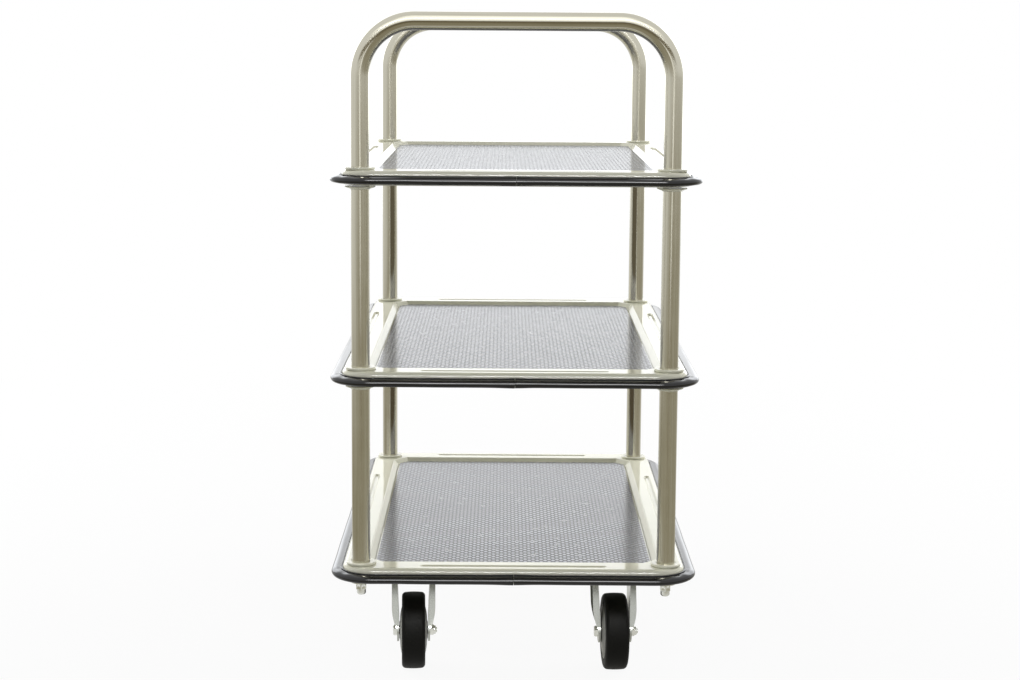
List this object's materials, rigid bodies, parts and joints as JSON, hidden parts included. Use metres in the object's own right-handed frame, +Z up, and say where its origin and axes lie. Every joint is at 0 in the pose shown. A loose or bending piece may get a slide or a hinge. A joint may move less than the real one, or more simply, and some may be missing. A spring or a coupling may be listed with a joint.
{
  "type": "three-tier cart",
  "caption": "Tiered service cart with matted steel decks, bumper edges, tubular posts and end handles, on swivel casters in front and rigid casters behind.",
  "frame": {"origin": "on the floor, under the middle of the decks", "axes": "+Z up, X across the cart, Y along it; the swivel casters are at the -Y end, which is the front"},
  "size_m": [0.48, 0.74, 0.8743],
  "materials": {
    "ivory_paint": "glossy stoved enamel, warm ivory",
    "grey_mat": "light grey vinyl with raised round studs, satin",
    "black_bumper": "glossy black soft extrusion",
    "tube_steel": "polished stainless tube with fine lengthwise lines",
    "plain_steel": "plain steel, hidden",
    "zinc_pressing": "zinc plated pressed steel",
    "zinc_fastener": "bright zinc plate",
    "tyre_rubber": "matte black moulded rubber",
    "core_plastic": "mid grey moulded plastic"
  },
  "bodies": {
    "cart": {"bottom_bumper": "black_bumper", "bottom_channels": "ivory_paint", "bottom_collars": "ivory_paint", "bottom_deck": "ivory_paint", "bottom_mat": "grey_mat", "cap_nuts": "zinc_fastener", "caster_bolts": "zinc_fastener", "caster_nuts": "zinc_fastener", "deck_spacers": "plain_steel", "end_washers": "zinc_fastener", "front_handle": "tube_steel", "front_left_bearing_balls": "plain_steel", "front_left_caster_plate": "zinc_pressing", "front_left_kingpin": "zinc_fastener", "front_right_bearing_balls": "plain_steel", "front_right_caster_plate": "zinc_pressing", "front_right_kingpin": "zinc_fastener", "handle_inserts": "plain_steel", "lock_washers": "zinc_fastener", "lower_post_front_left": "tube_steel", "lower_post_front_right": "tube_steel", "lower_post_rear_left": "tube_steel", "lower_post_rear_right": "tube_steel", "middle_bumper": "black_bumper", "middle_channels": "ivory_paint", "middle_collars": "ivory_paint", "middle_deck": "ivory_paint", "middle_mat": "grey_mat", "rear_axle_bolts": "zinc_fastener", "rear_axle_nuts": "zinc_fastener", "rear_axle_sleeves": "plain_steel", "rear_handle": "tube_steel", "rear_left_caster_bracket": "zinc_pressing", "rear_right_caster_bracket": "zinc_pressing", "tie_rods": "plain_steel", "top_bumper": "black_bumper", "top_channels": "ivory_paint", "top_collars": "ivory_paint", "top_deck": "ivory_paint", "top_mat": "grey_mat", "upper_post_front_left": "tube_steel", "upper_post_front_right": "tube_steel", "upper_post_rear_left": "tube_steel", "upper_post_rear_right": "tube_steel"},
    "front_left_fork": {"front_left_fork": "zinc_pressing", "front_left_axle_sleeve": "plain_steel", "front_left_axle_bolt": "zinc_fastener", "front_left_axle_nut": "zinc_fastener"},
    "front_left_wheel": {"front_left_wheel_core": "core_plastic", "front_left_tyre": "tyre_rubber"},
    "rear_left_wheel": {"rear_left_wheel_core": "core_plastic", "rear_left_tyre": "tyre_rubber"},
    "front_right_fork": {"front_right_fork": "zinc_pressing", "front_right_axle_sleeve": "plain_steel", "front_right_axle_bolt": "zinc_fastener", "front_right_axle_nut": "zinc_fastener"},
    "front_right_wheel": {"front_right_wheel_core": "core_plastic", "front_right_tyre": "tyre_rubber"},
    "rear_right_wheel": {"rear_right_wheel_core": "core_plastic", "rear_right_tyre": "tyre_rubber"}
  },
  "joints": [
    {"name": "front_left_swivel", "type": "hinge", "parent": "cart", "child": "front_left_fork", "pos_m": [-0.135, -0.245, 0.1271], "axis": [0, 0, 1], "continuous": true},
    {"name": "front_left_roll", "type": "hinge", "parent": "front_left_fork", "child": "front_left_wheel", "pos_m": [-0.13335, -0.27996, 0.051], "axis": [0.9989, 0.0471, 0], "continuous": true},
    {"name": "rear_left_roll", "type": "hinge", "parent": "cart", "child": "rear_left_wheel", "pos_m": [-0.135, 0.245, 0.051], "axis": [1, 0, 0], "continuous": true},
    {"name": "front_right_swivel", "type": "hinge", "parent": "cart", "child": "front_right_fork", "pos_m": [0.135, -0.245, 0.1271], "axis": [0, 0, 1], "continuous": true},
    {"name": "front_right_roll", "type": "hinge", "parent": "front_right_fork", "child": "front_right_wheel", "pos_m": [0.13665, -0.27996, 0.051], "axis": [0.9989, 0.0471, 0], "continuous": true},
    {"name": "rear_right_roll", "type": "hinge", "parent": "cart", "child": "rear_right_wheel", "pos_m": [0.135, 0.245, 0.051], "axis": [1, 0, 0], "continuous": true}
  ]
}
